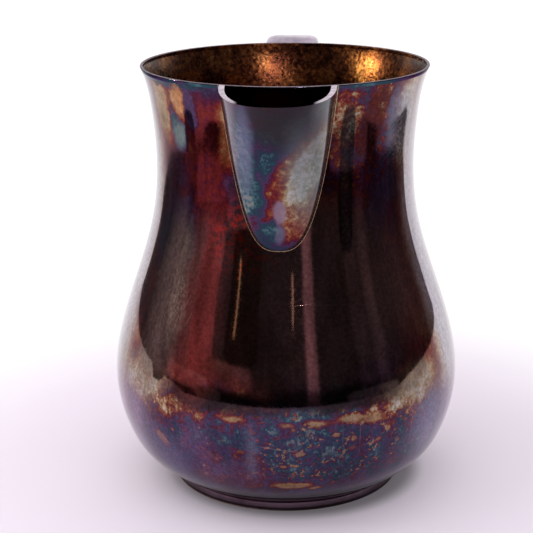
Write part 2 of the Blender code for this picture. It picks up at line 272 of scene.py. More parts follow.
class Surface:
    """A material, metal unless changed, with short calls that add and link its nodes."""

    def __init__(self, name):
        self.material = bpy.data.materials.new(name)
        self.material.use_nodes = True
        self.tree = self.material.node_tree
        self.shader = self.tree.nodes["Principled BSDF"]
        self.shader.inputs["Metallic"].default_value = 1.0
        self.place = self.node("ShaderNodeTexCoord").outputs["Object"]

    @classmethod
    def glowing(cls, name, strength):
        """The same calls on a material that only gives light."""
        made = cls(name)
        made.tree.nodes.remove(made.shader)
        made.shader = made.node("ShaderNodeEmission", {"Strength": strength})
        made.feed(made.tree.nodes["Material Output"].inputs["Surface"], made.shader.outputs[0])
        return made

    def node(self, kind, feeds=None, **settings):
        """A new node with its settings made and its inputs fed, by name or number."""
        made = self.tree.nodes.new(kind)
        for key, value in settings.items():
            setattr(made, key, value)
        for key, value in (feeds or {}).items():
            self.feed(made.inputs[key], value)
        return made

    def feed(self, socket, value):
        if isinstance(value, bpy.types.NodeSocket):
            self.tree.links.new(value, socket)
        else:
            socket.default_value = value

    def math(self, operation, a, b=0.0, c=0.0, clamp=False):
        feeds = {0: a, 1: b, 2: c}
        return self.node("ShaderNodeMath", feeds, operation=operation, use_clamp=clamp).outputs[0]

    def times(self, first, *others):
        for other in others:
            first = self.math("MULTIPLY", first, other)
        return first

    def swing(self, value, amount, base=0.0):
        """Turns a 0 to 1 value into a swing of the given size round the base."""
        return self.math("MULTIPLY_ADD", self.math("SUBTRACT", value, 0.5), amount, base)

    def split(self, source=None):
        """The three parts of a vector, or of the place in the object."""
        return self.node("ShaderNodeSeparateXYZ", {0: source or self.place}).outputs

    def join(self, x, y):
        return self.node("ShaderNodeCombineXYZ", {0: x, 1: y}).outputs[0]

    def vector(self, operation, a, b=(0.0, 0.0, 0.0), scale=1.0):
        made = self.node("ShaderNodeVectorMath", {0: a, 1: b, 3: scale}, operation=operation)
        return made.outputs["Value" if operation in ("LENGTH", "DOT_PRODUCT") else "Vector"]

    def moved(self, offset=(0, 0, 0), stretch=(1, 1, 1)):
        feeds = {"Vector": self.place, "Location": offset, "Scale": stretch}
        return self.node("ShaderNodeMapping", feeds).outputs["Vector"]

    def noise(self, scale, detail=4.0, rough=0.5, distort=0.0, at=None, give="Fac"):
        feeds = {"Vector": at or self.place, "Scale": scale, "Detail": detail, "Roughness": rough,
                 "Distortion": distort}
        return self.node("ShaderNodeTexNoise", feeds).outputs[give]

    def span(self, value, low, high, to_low=0.0, to_high=1.0, smooth=True):
        feeds = {"Value": value, "From Min": low, "From Max": high, "To Min": to_low, "To Max": to_high}
        kind = "SMOOTHSTEP" if smooth else "LINEAR"
        return self.node("ShaderNodeMapRange", feeds, interpolation_type=kind).outputs["Result"]

    def ramp(self, value, stops):
        made = self.node("ShaderNodeValToRGB", {"Fac": value})
        band = made.color_ramp
        band.interpolation = "EASE"
        while len(band.elements) < len(stops):
            band.elements.new(0.5)
        for element, (place, colour) in zip(band.elements, stops):
            element.position = place
            element.color = colour
        return made.outputs["Color"]

    def mix(self, share, a, b):
        return self.node("ShaderNodeMix", {"Factor": share, 6: a, 7: b}, data_type="RGBA").outputs[2]

    def mix_values(self, share, a, b):
        return self.node("ShaderNodeMix", {"Factor": share, 2: a, 3: b}, data_type="FLOAT").outputs[0]

    def bump(self, height, strength, distance, below=None):
        made = self.node("ShaderNodeBump", {"Strength": strength, "Distance": distance, "Height": height})
        if below is not None:
            self.feed(made.inputs["Normal"], below)
        return made.outputs["Normal"]

    def done(self, colour, roughness, normal=None):
        self.feed(self.shader.inputs["Base Color"], colour)
        self.feed(self.shader.inputs["Roughness"], roughness)
        if normal is not None:
            self.feed(self.shader.inputs["Normal"], normal)
        return self.material


def tone(*levels):
    """Linear colour from the 0 to 255 levels of red, green and blue seen on a display."""
    return (*(((c / 255 + 0.055) / 1.055) ** 2.4 for c in levels), 1.0)


# Interference colours of a silver sulphide film as it thickens, from bare silver to brown-black
FILM = [
    (0.00, tone(186, 174, 178)),
    (0.07, tone(172, 154, 138)),
    (0.14, tone(150, 116, 86)),
    (0.21, tone(124, 66, 48)),
    (0.28, tone(102, 34, 36)),
    (0.35, tone(74, 28, 50)),
    (0.42, tone(74, 52, 84)),
    (0.49, tone(54, 50, 76)),
    (0.57, tone(38, 62, 74)),
    (0.64, tone(66, 90, 102)),
    (0.71, tone(118, 122, 120)),
    (0.78, tone(134, 112, 96)),
    (0.84, tone(112, 64, 60)),
    (0.90, tone(88, 52, 66)),
    (0.95, tone(72, 48, 50)),
    (1.00, tone(48, 34, 34)),
]


def warped(s, place, coarse, fine):
    """A place shifted by two sizes of noise, so that patch edges wander like real tarnish."""
    for scale, amount in ((55.0, coarse), (310.0, fine)):
        shift = s.vector("SUBTRACT", s.noise(scale, 3.0, 0.6, give="Color"), (0.5, 0.5, 0.5))
        shift = s.vector("MULTIPLY", shift, (amount, amount, 0.0))
        place = s.vector("ADD", place, shift)
    return place


def round_body(s):
    """Angle from the spout in degrees, positive towards +X, and height in mm, as a vector."""
    x, y, z = s.split()
    angle = s.math("ARCTAN2", x, s.math("SUBTRACT", AXIS_Y, y))
    return s.join(s.times(angle, 180 / pi), s.math("DIVIDE", z, MM))


def front_face(s):
    """Sideways place and height in mm, as a vector."""
    x, _, z = s.split()
    return s.join(s.math("DIVIDE", x, MM), s.math("DIVIDE", z, MM))


def patch(s, place, centre, half, soft=0.45, lean=0.0, boxy=False):
    """Soft oval or rounded-box mask round a centre; lean shifts it sideways as it rises."""
    away = s.vector("SUBTRACT", place, (*centre, 0.0))
    if lean:
        x, y, _ = s.split(away)
        away = s.join(s.math("MULTIPLY_ADD", y, -lean, x), y)
    away = s.vector("MULTIPLY", away, (1 / half[0], 1 / half[1], 0.0))
    if boxy:
        away = s.vector("MULTIPLY", away, away)
    return s.span(s.vector("LENGTH", away), 1 + soft, 1 - soft)


def lay_patches(s, film, place, patches):
    """Mixes each patch's film thickness into the field; a patch may have its own softness and lean."""
    for centre, half, thickness, strength, *extra in patches:
        mask = patch(s, place, centre, half, *extra)
        film = s.mix_values(s.times(mask, strength), film, thickness)
    return film


def lay_stains(s, colour, place, stains, uneven=1.0, boxy=False):
    """Mixes each stain's colour into the metal's; uneven thins all of them in places."""
    for centre, half, stain, strength, *extra in stains:
        mask = patch(s, place, centre, half, *extra, boxy=boxy)
        colour = s.mix(s.times(mask, strength, uneven), colour, stain)
    return colour


def scratch(s, place, start, end, width):
    """Thin straight mark from start to end, fading at its ends."""
    middle = [(a + b) / 2 for a, b in zip(start, end)]
    run = [b - a for a, b in zip(start, end)]
    length = sqrt(run[0] ** 2 + run[1] ** 2)
    along = (run[0] / length, run[1] / length, 0.0)
    across = (-along[1], along[0], 0.0)
    away = s.vector("SUBTRACT", place, (*middle, 0.0))
    dots = []
    for axis, size in ((along, length / 2), (across, width)):
        share = s.vector("DOT_PRODUCT", away, [v / size for v in axis])
        dots.append(s.math("POWER", s.math("ABSOLUTE", share), 2.0))
    return s.span(s.math("ADD", *dots), 1.0, 0.2)


# Tarnish on the body: (degrees from spout, height), (half sizes), film, strength, softness, lean
BODY_PATCHES = [
    ((-80, 110), (17, 80), 0.02, 0.9, 0.5),
    ((76, 110), (14, 80), 0.02, 0.9, 0.5),
    ((-31, 145), (9, 44), 0.29, 0.95, 0.3),
    ((-20, 166), (5.5, 15), 0.16, 0.9, 0.4),
    ((-37, 183), (5, 2.5), 0.13, 0.8, 0.5),
    ((-30, 179), (7, 5), 0.35, 0.8, 0.5),
    ((-52, 181), (5, 4), 0.42, 0.7, 0.5),
    ((-39, 173), (4, 9), 0.44, 0.9, 0.4),
    ((-57, 174), (7, 14), 0.05, 0.8, 0.5),
    ((-45, 175), (3.6, 9), 0.15, 0.95, 0.5),
    ((-47, 164), (4.2, 9), 0.66, 0.75, 0.4, -0.2),
    ((-44, 183), (26, 2), 0.60, 0.8, 0.5),
    ((-27, 118), (12, 8), 0.38, 0.6),
    ((27, 171), (9, 12), 0.17, 0.95),
    ((22, 156), (5, 10), 0.26, 0.9),
    ((20, 146), (4, 8), 0.33, 0.9),
    ((30, 183), (16, 1.6), 0.50, 0.8),
    ((27, 180), (6, 2.5), 0.28, 0.8),
    ((46, 176), (7, 8), 0.22, 0.8),
    ((54, 166), (6, 12), 0.46, 0.7),
    ((62, 168), (7, 22), 0.05, 0.9),
    ((-53, 58), (11, 8), 0.07, 0.95),
    ((-36, 52), (9, 4), 0.17, 0.7),
    ((-22, 51), (6, 3), 0.33, 0.6),
    ((51, 60), (9, 9), 0.07, 0.95),
    ((37, 54), (8, 4.5), 0.12, 0.85),
    ((22, 51), (7, 2.5), 0.17, 0.75),
    ((-52, 34), (14, 12), 0.43, 0.8),
    ((-34, 36), (10, 11), 0.48, 0.8),
    ((-28, 44), (9, 5), 0.44, 0.8),
    ((-16, 41), (8, 8), 0.51, 0.9),
    ((6, 44), (22, 12), 0.56, 0.95),
    ((-14, 27), (11, 5), 0.42, 0.9),
    ((14, 31), (16, 8), 0.56, 0.8),
    ((33, 38), (13, 10), 0.49, 0.7),
    ((6, 15), (44, 7), 0.44, 0.8),
    ((56, 36), (10, 12), 0.50, 0.6),
]
# Browner places, with painted shade and a painted reflection marked below: (degrees, height), (half sizes),
# colour, strength, softness
BODY_STAINS = [
    ((8, 100), (50, 38), tone(108, 86, 84), 0.9, 0.3),
    # Dark line at 57 to 60 mm across the front: painted reflection of the dark lower edge of the hangings.
    ((24, 60), (26, 5), tone(38, 28, 30), 0.92, 0.4),
    ((-24, 59), (15, 5), tone(38, 28, 30), 0.9, 0.4),
    ((-8, 57), (18, 4), tone(46, 34, 40), 0.8, 0.5),
    ((51, 66), (4.5, 5), tone(66, 30, 32), 0.85, 0.4),
    ((-46, 92), (10, 36), tone(124, 106, 98), 0.8, 0.4),
    ((-29, 92), (9, 32), tone(120, 58, 56), 0.7, 0.5),
    ((-44, 177), (3.0, 6), tone(182, 122, 84), 0.8, 0.5),
    ((-47, 162), (3.4, 6), tone(118, 126, 126), 0.7, 0.5),
    ((-26, 181.5), (6, 2.5), tone(54, 36, 60), 0.8, 0.5),
    ((-78, 110), (14, 90), tone(176, 168, 184), 0.7, 0.5),
    ((77, 110), (13, 90), tone(172, 166, 184), 0.7, 0.5),
    ((58, 166), (8, 15), tone(126, 128, 146), 0.65, 0.6),
    ((-54, 59), (12, 9), tone(146, 122, 112), 0.55, 0.6),
    ((50, 59), (11, 9), tone(128, 110, 98), 0.6, 0.6),
    ((-62, 40), (14, 14), tone(156, 130, 154), 0.75, 0.6),
    ((-40, 26), (18, 12), tone(96, 86, 124), 0.5, 0.7),
    ((62, 38), (14, 14), tone(150, 144, 168), 0.65, 0.6),
    ((-14, 26), (9, 6), tone(112, 78, 106), 0.5, 0.6),
    ((-9, 36), (2, 10), tone(120, 112, 134), 0.5, 0.6),
    ((-25, 38), (7, 7), tone(98, 70, 102), 0.5, 0.4),
    ((8, 42), (26, 13), tone(56, 62, 88), 0.3, 0.7),
    ((30, 166), (15, 17), tone(74, 40, 38), 0.4, 0.6),
    # Darker band round the lowest 12 mm: painted shade where the shaded floor next to the foot is
    # reflected.
    ((0, 6), (180, 6), tone(96, 78, 90), 0.8, 0.6),
]
# Dark upright marks on the right of the neck, with clear edges
NECK_MARKS = [
    ((28.5, 146), (3.2, 30), tone(34, 32, 35), 0.95, 0.16, 0.02),
    ((41.0, 168), (5.8, 14), tone(76, 32, 28), 0.88, 0.2, 0.28),
    ((-58.0, 181.3), (1.0, 1.3), tone(12, 10, 10), 0.95, 0.2, 0.0),
    ((-55.6, 182.2), (0.7, 0.9), tone(12, 10, 10), 0.95, 0.2, 0.0),
]
# Spots worn thin: (degrees, height), (half sizes), film, strength, softness, lean
WORN_SPOTS = [
    ((4.5, 20.5), (7.5, 2.0), 0.15, 1.0, 0.35),
    ((12.5, 18.5), (2.5, 0.9), 0.16, 1.0, 0.4),
    ((-42, 35.5), (2.4, 4.2), 0.17, 1.0, 0.35, -0.4),
    ((7, 37), (1.5, 1.3), 0.14, 1.0, 0.4),
    ((2, 31), (1.8, 1.2), 0.16, 1.0, 0.5),
    ((-12, 37), (1.2, 1.0), 0.20, 1.0, 0.5),
    ((-8, 27), (1.6, 0.6), 0.16, 1.0, 0.5),
    ((33, 40), (1.2, 1.3), 0.18, 1.0, 0.5),
    ((12, 50.5), (4.5, 1.7), 0.13, 1.0, 0.7),
    ((23, 51.5), (5.0, 2.2), 0.12, 1.0, 0.7),
    ((31, 49.5), (4.0, 1.8), 0.15, 1.0, 0.7),
    ((3, 50.0), (3.0, 1.2), 0.17, 1.0, 0.7),
    ((-14, 51.5), (4.0, 1.6), 0.15, 1.0, 0.7),
    ((18, 45.0), (1.6, 1.2), 0.14, 1.0, 0.5),
    ((24, 42.0), (1.3, 1.4), 0.15, 1.0, 0.5),
]
# Mottled zones: (degrees, height), (half sizes), softness
MOTTLED = [
    ((10, 42), (58, 23), 0.4),
    ((32, 168), (26, 26), 0.4),
    ((-48, 57), (16, 11), 0.5),
]
# Gold specks: noise scale, where they start and are full, (degrees, height), (half sizes)
SPECKS = [
    (640.0, 0.55, 0.62, (18, 40), (36, 22)),
    (330.0, 0.58, 0.64, (20, 47), (36, 11)),
    (420.0, 0.62, 0.68, (-10, 36), (40, 16)),
]
# Scratches: start and end as (degrees, height), width
SCRATCHES = [
    ((20.0, 56.0), (21.0, 26.0), 0.16),
    ((26.0, 54.0), (26.5, 28.0), 0.16),
    ((-9.0, 41.0), (9.0, 37.5), 0.2),
    ((18.0, 36.0), (38.0, 41.0), 0.18),
    ((2.0, 96.6), (14.0, 97.6), 0.16),
    ((12.0, 97.0), (26.0, 96.0), 0.16),
    ((16.0, 24.0), (22.0, 33.0), 0.2),
    ((-38.0, 88.0), (-34.0, 99.0), 0.25),
    ((-35.0, 84.0), (-32.0, 93.0), 0.25),
    ((24.0, 66.0), (30.0, 73.0), 0.18),
]


def body_film(s, flat):
    """Film thickness over the body: broad fields, patches, mottling, specks and worn spots."""
    place = warped(s, flat, 8.0, 4.0)
    film = s.span(s.noise(16.0, 3.0, 0.55, 0.5), 0.28, 0.72, 0.10, 0.60, smooth=False)
    film = lay_patches(s, film, place, BODY_PATCHES)
    mottled = 0.0
    for centre, half, soft in MOTTLED:
        mottled = s.math("MAXIMUM", mottled, patch(s, flat, centre, half, soft))
    mottled = s.span(mottled, 0.0, 1.0, 0.22, 1.0)
    spread = s.swing(s.noise(150.0, 5.0, 0.7, 0.4), 1.15)
    spread = s.swing(s.noise(560.0, 4.0, 0.7), 0.60, spread)
    film = s.math("MULTIPLY_ADD", spread, mottled, film)
    for size, low, high, centre, half in SPECKS:
        dots = s.span(s.noise(size, 2.0, 0.5), low, high)
        clusters = s.span(s.noise(size / 5, 3.0, 0.6), 0.44, 0.58)
        film = s.mix_values(s.times(dots, clusters, patch(s, flat, centre, half, 0.5)), film, 0.13)
    film = lay_patches(s, film, warped(s, flat, 2.4, 2.2), WORN_SPOTS)
    return s.math("MAXIMUM", film, 0.0, clamp=True), place


def lower_veil(s, place, film):
    """Share of a thin lavender haze on the lower band, strongest at the sides."""
    x, height, _ = s.split(place)
    cloudy = s.span(s.noise(38.0, 4.0, 0.6, 0.4), 0.3, 0.7, 0.05, 0.26)
    tarnished = s.span(film, 0.16, 0.30, 0.2, 1.0)
    sides = s.span(s.math("ABSOLUTE", s.math("SUBTRACT", x, 6.0)), 14.0, 40.0, 0.25, 1.0)
    return s.times(s.span(height, 60.0, 46.0), cloudy, tarnished, sides)


def dust_share(s, place):
    """Pale dust and fine rubbing on the left of the belly."""
    broad = s.times(patch(s, place, (-48, 94), (7, 26), 0.7), 0.5)
    hazy = s.math("MAXIMUM", broad, patch(s, place, (-40, 94), (3.5, 9), 0.8))
    grain = s.noise(900.0, 6.0, 0.8, at=s.moved(stretch=(1.0, 1.0, 0.45)))
    return s.times(hazy, s.span(grain, 0.42, 0.72))


def body_surface():
    s = Surface("tarnished_body")
    flat = round_body(s)
    film, place = body_film(s, flat)
    fine = s.noise(700.0, 4.0, 0.7)
    streaks = s.noise(90.0, 5.0, 0.7, at=s.moved(stretch=(1.0, 1.0, 0.04)))
    colour = lay_stains(s, s.ramp(film, FILM), place, BODY_STAINS)
    rubbed = s.span(fine, 0.3, 0.7, 1.0, 0.75)
    colour = lay_stains(s, colour, warped(s, flat, 2.0, 0.8), NECK_MARKS, rubbed, boxy=True)
    colour = s.mix(lower_veil(s, place, film), colour, tone(122, 114, 140))
    grime = s.times(s.span(fine, 0.35, 0.7, 0.70, 1.15), s.span(streaks, 0.3, 0.7, 0.78, 1.14))
    colour = s.vector("SCALE", colour, scale=grime)
    flecks = s.times(patch(s, place, (-14, 124), (13, 14), 0.6),
                     s.span(s.noise(420.0, 5.0, 0.75, 0.5), 0.47, 0.58), 0.85)
    colour = s.mix(flecks, colour, tone(176, 66, 62))
    dust = dust_share(s, place)
    colour = s.mix(s.times(dust, 0.75), colour, tone(196, 180, 166))
    marks = 0.0
    for start, end, width in SCRATCHES:
        marks = s.math("MAXIMUM", marks, scratch(s, flat, start, end, width))
    marks = s.times(marks, s.span(streaks, 0.35, 0.6, 0.3, 1.0))
    colour = s.mix(s.times(marks, 0.2), colour, tone(190, 175, 170))
    rough = s.math("MULTIPLY_ADD", s.math("MAXIMUM", marks, dust), 0.10, s.span(fine, 0.3, 0.7, 0.04, 0.09))
    normal = s.bump(marks, 0.12, 0.03 * MM, s.bump(fine, 0.10, 0.05 * MM))
    return s.done(colour, rough, normal)


# Tarnish on the spout: (sideways, height) in mm, half sizes, film, strength, softness, lean
SPOUT_PATCHES = [
    ((-14, 150), (5, 26), 0.62, 0.9),
    ((-6.5, 162), (3.5, 4), 0.37, 0.85),
    ((0, 158), (8, 9), 0.56, 0.95),
    ((7, 163), (6, 5), 0.54, 0.8),
    ((7, 150), (9.5, 25), 0.22, 0.95, 0.3, 0.55),
    ((11.5, 151), (7, 21), 0.05, 1.0, 0.25, 0.50),
    ((-3, 138), (5.5, 9), 0.25, 0.95),
    ((-9, 140), (3.6, 9), 0.66, 0.85),
    ((-10.5, 131), (3, 4), 0.32, 0.7),
    ((7, 130), (6, 10), 0.21, 0.9),
    ((13, 136), (3, 12), 0.18, 0.7),
    ((-4, 127), (5, 5), 0.56, 0.9),
    ((2, 121), (6, 3), 0.44, 0.7),
    ((-12, 140), (2.5, 6), 0.68, 0.7),
]
# Greyer or rubbed places, with a painted reflection and painted highlights marked below: (sideways,
# height), (half sizes), colour, strength, softness
SPOUT_STAINS = [
    # Dark grey upper front: painted reflection of the shaded floor next to the foot.
    ((3, 177), (15, 14), tone(50, 44, 46), 1.0, 0.4),
    # Lavender upright strips on the left side: painted highlights.
    ((-12.5, 162), (3.0, 18), tone(112, 114, 140), 0.7, 0.6),
    ((-17.5, 158), (2.2, 26), tone(120, 98, 116), 0.6, 0.6),
    ((17, 165), (3.4, 24), tone(80, 76, 80), 0.7, 0.5),
    ((11, 151), (7.5, 18), tone(92, 102, 106), 0.8, 0.7),
    ((0.3, 135.3), (2.7, 4.9), tone(122, 104, 126), 0.85, 0.3),
    ((0.6, 126.0), (2.2, 3.8), tone(104, 100, 120), 0.6, 0.45),
]


def spout_surface():
    s = Surface("tarnished_spout")
    flat = front_face(s)
    film = s.span(s.noise(40.0, 3.0, 0.6), 0.3, 0.7, 0.3, 0.7, smooth=False)
    film = lay_patches(s, film, warped(s, flat, 5.0, 2.6), SPOUT_PATCHES)
    fine = s.noise(620.0, 5.0, 0.7)
    spread = s.swing(fine, 0.5, s.swing(s.noise(170.0, 4.0, 0.7, 0.3), 0.5))
    film = s.math("ADD", film, spread, clamp=True)
    colour = s.vector("SCALE", s.ramp(film, FILM), scale=0.85)
    uneven = s.span(fine, 0.3, 0.7, 0.75, 1.0)
    colour = lay_stains(s, colour, warped(s, flat, 2.6, 2.2), SPOUT_STAINS, uneven)
    return s.done(bare_top(s, colour), s.span(fine, 0.3, 0.7, 0.06, 0.13), s.bump(fine, 0.12, 0.06 * MM))


def facing_up(s):
    """How far the surface faces up, from its flat faces."""
    return s.split(s.node("ShaderNodeNewGeometry").outputs["True Normal"])[2]


def bare_top(s, colour):
    """The lip is rubbed bare at its sides and along a thin nicked line at its front edge."""
    upward = facing_up(s)
    x, _, z = s.split()
    high = s.span(z, 176 * MM, 179 * MM)
    top = s.times(s.span(upward, 0.55, 0.8), high)
    colour = s.mix(top, colour, tone(58, 48, 52))
    side = s.span(s.math("ABSOLUTE", x), 13 * MM, 19 * MM, 0.05, 1.0)
    edge = s.times(s.span(upward, 0.2, 0.4), s.span(upward, 0.93, 0.8))
    nicked = s.times(edge, s.span(s.noise(260.0, 3.0, 0.6), 0.48, 0.70, 0.03, 0.8), high)
    share = s.math("MAXIMUM", s.times(top, side), nicked)
    bare = s.mix(s.span(s.noise(400.0, 3.0), 0.35, 0.65), tone(206, 190, 206), tone(176, 158, 172))
    dull = s.times(top, s.span(side, 0.05, 0.6, 1.0, 0.0))
    s.feed(s.shader.inputs["Specular Tint"], s.mix(dull, (1.0, 1.0, 1.0, 1.0), (0.12, 0.12, 0.12, 1.0)))
    return s.mix(share, colour, bare)


def rim_surface():
    """Rim wire: bare and light on top, tarnished like the wall on its sides."""
    s = Surface("rim_wire")
    s.shader.inputs["Specular Tint"].default_value = (0.45, 0.42, 0.45, 1.0)
    fine = s.noise(420.0, 5.0, 0.7)
    film = s.swing(fine, 0.2, s.span(s.noise(55.0, 3.0, 0.6, 0.4), 0.3, 0.7, 0.36, 0.66, smooth=False))
    top = s.times(s.span(facing_up(s), 0.25, 0.75), s.span(fine, 0.3, 0.6, 0.45, 1.0))
    colour = s.mix(top, s.ramp(film, FILM), tone(172, 158, 164))
    return s.done(colour, s.span(fine, 0.3, 0.7, 0.08, 0.18), s.bump(fine, 0.15, 0.08 * MM))


def inside_surface():
    """Dark gilt-brown interior with a fine stippled texture, with painted shade that darkens it lower down.
    """
    s = Surface("stippled_interior")
    broad = s.noise(60.0, 4.0, 0.65, 0.5)
    fine = s.noise(520.0, 4.0, 0.7)
    shade = s.swing(fine, 1.0, broad)
    colour = s.ramp(shade, [(0.25, tone(46, 27, 21)), (0.45, tone(92, 56, 40)),
                            (0.60, tone(138, 90, 54)), (0.80, tone(196, 146, 90))])
    # Painted shade: darker lower down inside the vessel.
    colour = s.vector("SCALE", colour, scale=s.span(s.split()[2], 0.13, 0.175, 0.30, 0.66))
    feeds = {"Vector": s.place, "Scale": 620.0, "Smoothness": 0.5}
    cells = s.node("ShaderNodeTexVoronoi", feeds, feature="SMOOTH_F1")
    normal = s.bump(cells.outputs["Distance"], 0.4, 0.18 * MM)
    normal = s.bump(fine, 0.2, 0.10 * MM, normal)
    return s.done(colour, s.span(fine, 0.3, 0.7, 0.24, 0.34), normal)


def channel_shade_surface():
    """Nearly black spout channel and seam line: painted shade in the channel and in the groove beside the
    solder bead.
    """
    s = Surface("channel_painted_shade")
    fine = s.noise(200.0, 4.0, 0.7)
    colour = s.ramp(fine, [(0.3, tone(24, 14, 16)), (0.7, tone(58, 34, 32))])
    return s.done(colour, s.span(fine, 0.3, 0.7, 0.4, 0.6), s.bump(fine, 0.3, 0.15 * MM))


def rubbed_surface(name, light, dull, film_share, scale):
    """Metal rubbed bright by use, with the film left in patches."""
    s = Surface(name)
    broad = s.noise(scale, 4.0, 0.6, 0.4)
    fine = s.noise(scale * 8, 5.0, 0.7)
    base = s.mix(s.span(fine, 0.3, 0.75), light, dull)
    film = s.swing(fine, 0.25, s.span(broad, 0.3, 0.7, 0.05, 0.6, smooth=False))
    share = s.times(s.span(broad, 0.45, 0.65), film_share)
    colour = s.mix(share, base, s.ramp(film, FILM))
    return s.done(colour, s.span(fine, 0.3, 0.7, 0.10, 0.22), s.bump(fine, 0.15, 0.08 * MM))


def foot_surface():
    """Mauve-grey foot ring, with painted shade where it meets the table and a painted highlight on its
    lower left edge.
    """
    s = Surface("foot_metal")
    fine = s.noise(480.0, 5.0, 0.7)
    colour = s.ramp(s.noise(50.0, 4.0, 0.6, 0.4), [(0.3, tone(88, 70, 82)), (0.7, tone(122, 102, 114))])
    x, _, z = s.split()
    # Painted shade: dark along the lowest 2 mm, where the ring meets the table.
    dark = s.times(s.span(z, 2.2 * MM, 1.2 * MM), 0.85)
    colour = s.mix(dark, colour, tone(34, 22, 24))
    # Painted highlight: light along the lower edge on the left, the side the light comes from.
    left = s.span(x, 10 * MM, -25 * MM, 0.1, 1.0)
    lit_edge_share = s.times(s.span(z, 1.0 * MM, 0.4 * MM), left, s.span(fine, 0.3, 0.6, 0.4, 0.95))
    colour = s.mix(lit_edge_share, colour, tone(196, 164, 150))
    return s.done(colour, s.span(fine, 0.3, 0.7, 0.30, 0.44), s.bump(fine, 0.15, 0.08 * MM))


# ---------------------------------------------------------------- pieces

def body_outline():
    bottom = BODY_PROFILE[0][0] * MM
    top = RIM_HEIGHT - RIM_WIRE_HEIGHT
    outer = []
    for i in range(OUTER_RINGS):
        z = bottom + (top - bottom) * i / (OUTER_RINGS - 1)
        outer.append((body_radius(z), z))
    inner = []
    for i in range(INNER_RINGS):
        z = top + (bottom + INNER_FOOT - top) * i / (INNER_RINGS - 1)
        slope = body_slope(z)
        length = sqrt(1 + slope * slope)
        level = min(z + WALL * slope / length, top)
        inner.append((body_radius(z) - WALL / length, level))
    floor = bottom + WALL
    ledge = [(PLATE_RADIUS, floor), (LEDGE_RADIUS, floor), (LEDGE_RADIUS, bottom)]
    return outer + inner + ledge


def window_cutter():
    """Prism through the front wall, with the outline of the window."""
    side = []
    for i in range(1, WINDOW_STEPS + 1):
        share = (i / WINDOW_STEPS) ** 2
        half = WINDOW_HALF_WIDTH * share ** SPOUT_NARROWING
        side.append((half, WINDOW_BOTTOM + (WINDOW_TOP - WINDOW_BOTTOM) * share))
    outline = side + [(-x, z) for x, z in reversed(side)] + [(0.0, WINDOW_BOTTOM)]
    points = [(x, y, z) for y in WINDOW_CUT for x, z in outline]
    count = len(outline)
    faces = [tuple(range(count)), tuple(range(2 * count - 1, count - 1, -1))]
    for i in range(count):
        j = (i + 1) % count
        faces.append((j, i, count + i, count + j))
    return placed("window_cutter", closed_mesh("window_cutter", points, faces))


def cut_window(body):
    """Cuts the window and applies the cut, so that no cutter is left in the scene."""
    cutter = window_cutter()
    cut = body.modifiers.new("window", "BOOLEAN")
    cut.operation = "DIFFERENCE"
    cut.solver = "EXACT"
    cut.object = cutter
    graph = bpy.context.evaluated_depsgraph_get()
    made = bpy.data.meshes.new_from_object(body.evaluated_get(graph))
    body.modifiers.clear()
    body.data = made
    bpy.data.objects.remove(cutter)


def make_body(outside, inside):
    points, faces = lathe(body_outline(), DENT_DEPTH)
    body = make_piece("body", points, faces, outside, ["body_shell"])
    body.data.materials.append(inside)
    cut_window(body)
    for face in body.data.polygons:
        middle = face.center
        r = sqrt(middle.x ** 2 + (middle.y - AXIS_Y) ** 2)
        within = r < body_radius(middle.z) - 0.5 * WALL
        face.material_index = 1 if within and middle.z > INSIDE_FROM else 0
    return body


def make_rim(surface, inside):
    """Rim wire, flush with the wall outside, with a softly rounded top."""
    base = RIM_HEIGHT - RIM_WIRE_HEIGHT
    outer = body_radius(RIM_HEIGHT)
    inner = outer - RIM_WIRE_WIDTH
    round_off = RIM_ROUND_OFF
    outline = [(inner, base), (body_radius(base), base)]
    outline += quarter_round(outer - round_off, RIM_HEIGHT - round_off, round_off, 0.0)
    outline += quarter_round(inner + round_off, RIM_HEIGHT - round_off, round_off, pi / 2)
    points, faces = lathe(outline, DENT_DEPTH * 0.5)
    rim = make_piece("rim_edge", points, faces, surface, ["rim_wire"])
    rim.data.materials.append(inside)
    for face in rim.data.polygons:
        inward = Vector((face.center.x, face.center.y - AXIS_Y, 0.0)).dot(face.normal) < 0
        face.material_index = 1 if inward and face.normal.z < 0.6 else 0
    return rim


def make_foot(surface):
    inner = FOOT_RADIUS - FOOT_WIDTH
    round_off = FOOT_ROUND_OFF
    outline = [(inner, 0.0), (FOOT_RADIUS - round_off, 0.0)]
    outline += quarter_round(FOOT_RADIUS - round_off, round_off, round_off, -pi / 2)
    outline += quarter_round(FOOT_RADIUS - round_off, FOOT_HEIGHT - round_off, round_off, 0.0)
    outline.append((inner, FOOT_HEIGHT))
    points, faces = lathe(outline)
    return make_piece("foot", points, faces, surface, ["foot_ring"])


def make_base(surface):
    """Domed plate that closes the body inside the foot ring."""
    low = BODY_PROFILE[0][0] * MM + WALL
    under = []
    top = []
    for i in range(PLATE_RINGS):
        r = max(PLATE_RADIUS * (1 - i / (PLATE_RINGS - 1)), 0.02 * MM)
        dome = max(0.0, 1 - (r / LEDGE_RADIUS) ** 2)
        lift = PLATE_RISE * dome * dome
        under.append((r, low + lift))
        top.append((r, low + lift + PLATE_THICKNESS))
    points, faces = lathe(under + top[::-1])
    return make_piece("base_plate", points, faces, surface, ["base_disc"])


